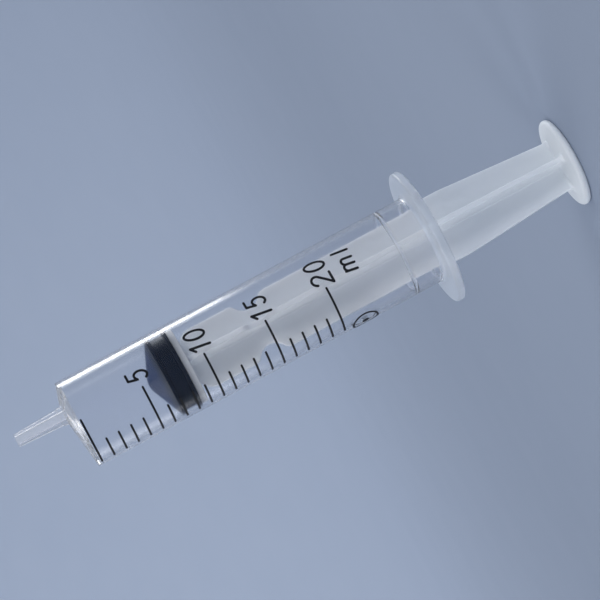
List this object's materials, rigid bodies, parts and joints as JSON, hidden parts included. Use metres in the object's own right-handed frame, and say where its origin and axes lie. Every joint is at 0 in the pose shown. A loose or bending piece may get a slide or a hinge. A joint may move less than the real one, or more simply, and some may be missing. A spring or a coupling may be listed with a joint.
{
  "type": "oral syringe",
  "caption": "Clear oral syringe with printed ml scale, offset tapered nozzle, round finger flange, rubber stopper and cross-ribbed plunger, standing on its thumb rest.",
  "frame": {"origin": "centre of the thumb rest's flat back, on the syringe's axis", "axes": "+Z along the syringe towards the nozzle; -Y is the side that the scale faces; +X is to the right of someone who reads it"},
  "size_m": [0.034, 0.034, 0.1463],
  "materials": {
    "clear_plastic": "clear moulded polypropylene",
    "milky_plastic": "translucent milky polyethylene",
    "stopper_rubber": "smooth, lightly siliconed",
    "ink": "screen-printed ink"
  },
  "bodies": {
    "barrel": {"barrel": "clear_plastic", "scale_lines_long": "ink", "scale_lines_short": "ink", "numeral_5": "ink", "numeral_10": "ink", "numeral_15": "ink", "numeral_20": "ink", "unit_mark": "ink", "ring_mark": "ink"},
    "stopper": {"stopper": "stopper_rubber"},
    "plunger": {"plunger_rod": "milky_plastic"}
  },
  "joints": [
    {"name": "plunger_slide", "type": "slide", "parent": "barrel", "child": "stopper", "axis": [0, 0, 1], "range_m": [-0.0564, 0.0191]},
    {"name": "rod_twist", "type": "hinge", "parent": "stopper", "child": "plunger", "pos_m": [0, 0, 0.105], "axis": [0, 0, 1], "continuous": true}
  ]
}
